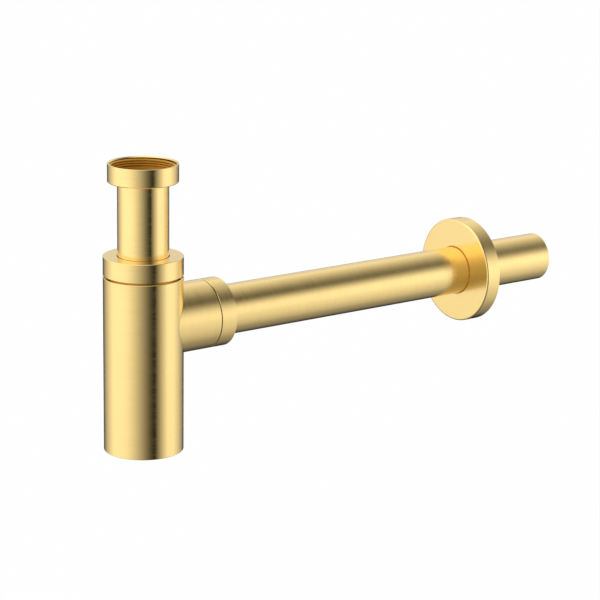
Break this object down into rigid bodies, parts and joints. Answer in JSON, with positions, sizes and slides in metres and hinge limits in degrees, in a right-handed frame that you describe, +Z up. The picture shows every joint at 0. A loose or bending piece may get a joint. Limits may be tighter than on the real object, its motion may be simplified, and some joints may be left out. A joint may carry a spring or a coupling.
{
  "type": "bottle trap",
  "caption": "Basin bottle trap in brushed gold-coloured brass: union nut, dip tube, round bottle with a side outlet, straight outlet pipe and sliding wall flange.",
  "frame": {"origin": "on the bottle's axis, in the plane where the tail of the basin waste lands on the inlet washer, inside the union nut", "axes": "+Z up along the bottle's axis and out of the inlet, +X along the outlet pipe towards the wall"},
  "size_m": [0.3497, 0.07, 0.1827],
  "materials": {
    "brushed_brass": "fine turned brushing, satin sheen",
    "seal_rubber": "matt black rubber",
    "washer_rubber": "matt tan rubber",
    "slip_ring_plastic": "natural polyethylene"
  },
  "bodies": {
    "inlet_nut": {"inlet_nut": "brushed_brass"},
    "inlet_washer": {"inlet_washer": "washer_rubber"},
    "inlet_tube": {"inlet_tube": "brushed_brass"},
    "bottle": {"bottle": "brushed_brass", "bottle_neck": "brushed_brass", "outlet_branch": "brushed_brass", "tube_seal": "seal_rubber", "outlet_seal": "seal_rubber"},
    "collar_ring": {"collar_slip_ring": "slip_ring_plastic"},
    "collar_nut": {"collar_nut": "brushed_brass"},
    "outlet_ring": {"outlet_slip_ring": "slip_ring_plastic"},
    "outlet_nut": {"outlet_nut": "brushed_brass"},
    "outlet_pipe": {"outlet_pipe": "brushed_brass"},
    "wall_flange": {"wall_flange": "brushed_brass", "flange_ring": "seal_rubber"}
  },
  "joints": [
    {"name": "nut_slide", "type": "slide", "parent": "inlet_nut", "child": "inlet_washer", "axis": [0, 0, 1], "range_m": [0, 0.028]},
    {"name": "inlet_turn", "type": "hinge", "parent": "inlet_washer", "child": "inlet_tube", "pos_m": [0, 0, 0], "axis": [0, 0, 1], "continuous": true},
    {"name": "height_slide", "type": "slide", "parent": "inlet_tube", "child": "bottle", "axis": [0, 0, 1], "range_m": [-0.03, 0.01]},
    {"name": "collar_travel", "type": "slide", "parent": "bottle", "child": "collar_ring", "axis": [0, 0, 1], "range_m": [0, 0.0076]},
    {"name": "collar_turn", "type": "hinge", "parent": "collar_ring", "child": "collar_nut", "pos_m": [0, 0, -0.0562], "axis": [0, 0, 1], "range_deg": [0, 1800]},
    {"name": "outlet_nut_travel", "type": "slide", "parent": "bottle", "child": "outlet_ring", "axis": [1, 0, 0], "range_m": [0, 0.0076]},
    {"name": "outlet_nut_turn", "type": "hinge", "parent": "outlet_ring", "child": "outlet_nut", "pos_m": [0.05035, 0, -0.0939], "axis": [1, 0, 0], "range_deg": [0, 1800]},
    {"name": "pipe_slide", "type": "slide", "parent": "bottle", "child": "outlet_pipe", "axis": [1, 0, 0], "range_m": [0, 0.015]},
    {"name": "flange_slide", "type": "slide", "parent": "outlet_pipe", "child": "wall_flange", "axis": [1, 0, 0], "range_m": [-0.18, 0.055]}
  ],
  "couplings": [
    {"joint": "collar_travel", "follows": "collar_turn", "m_per_rad": 0.00023873},
    {"joint": "outlet_nut_travel", "follows": "outlet_nut_turn", "m_per_rad": 0.00023873}
  ]
}
